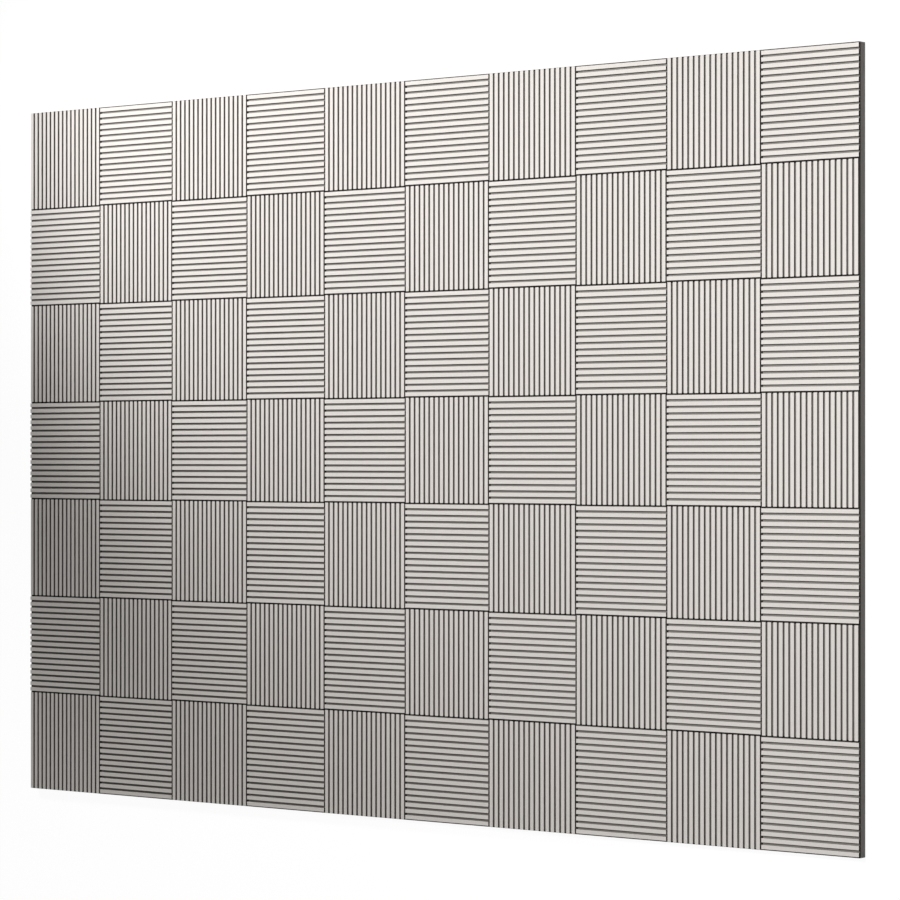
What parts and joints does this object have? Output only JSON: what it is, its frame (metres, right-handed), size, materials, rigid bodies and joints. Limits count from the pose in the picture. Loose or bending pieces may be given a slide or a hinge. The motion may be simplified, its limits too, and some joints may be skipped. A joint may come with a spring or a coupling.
{
  "type": "plaster wall panel",
  "caption": "Flat cast plaster wall panel whose face is a chequerboard of finely ribbed squares, with the ribs upright and level by turns.",
  "frame": {"origin": "middle of the flat back, on which the panel lies", "axes": "+X along the width, +Y up the height as the panel hangs on a wall, +Z out of the ribbed face"},
  "size_m": [1.2, 0.84, 0.0122],
  "materials": {
    "plaster": "matt"
  },
  "bodies": {
    "root": {"relief_panel": "plaster"}
  },
  "joints": []
}
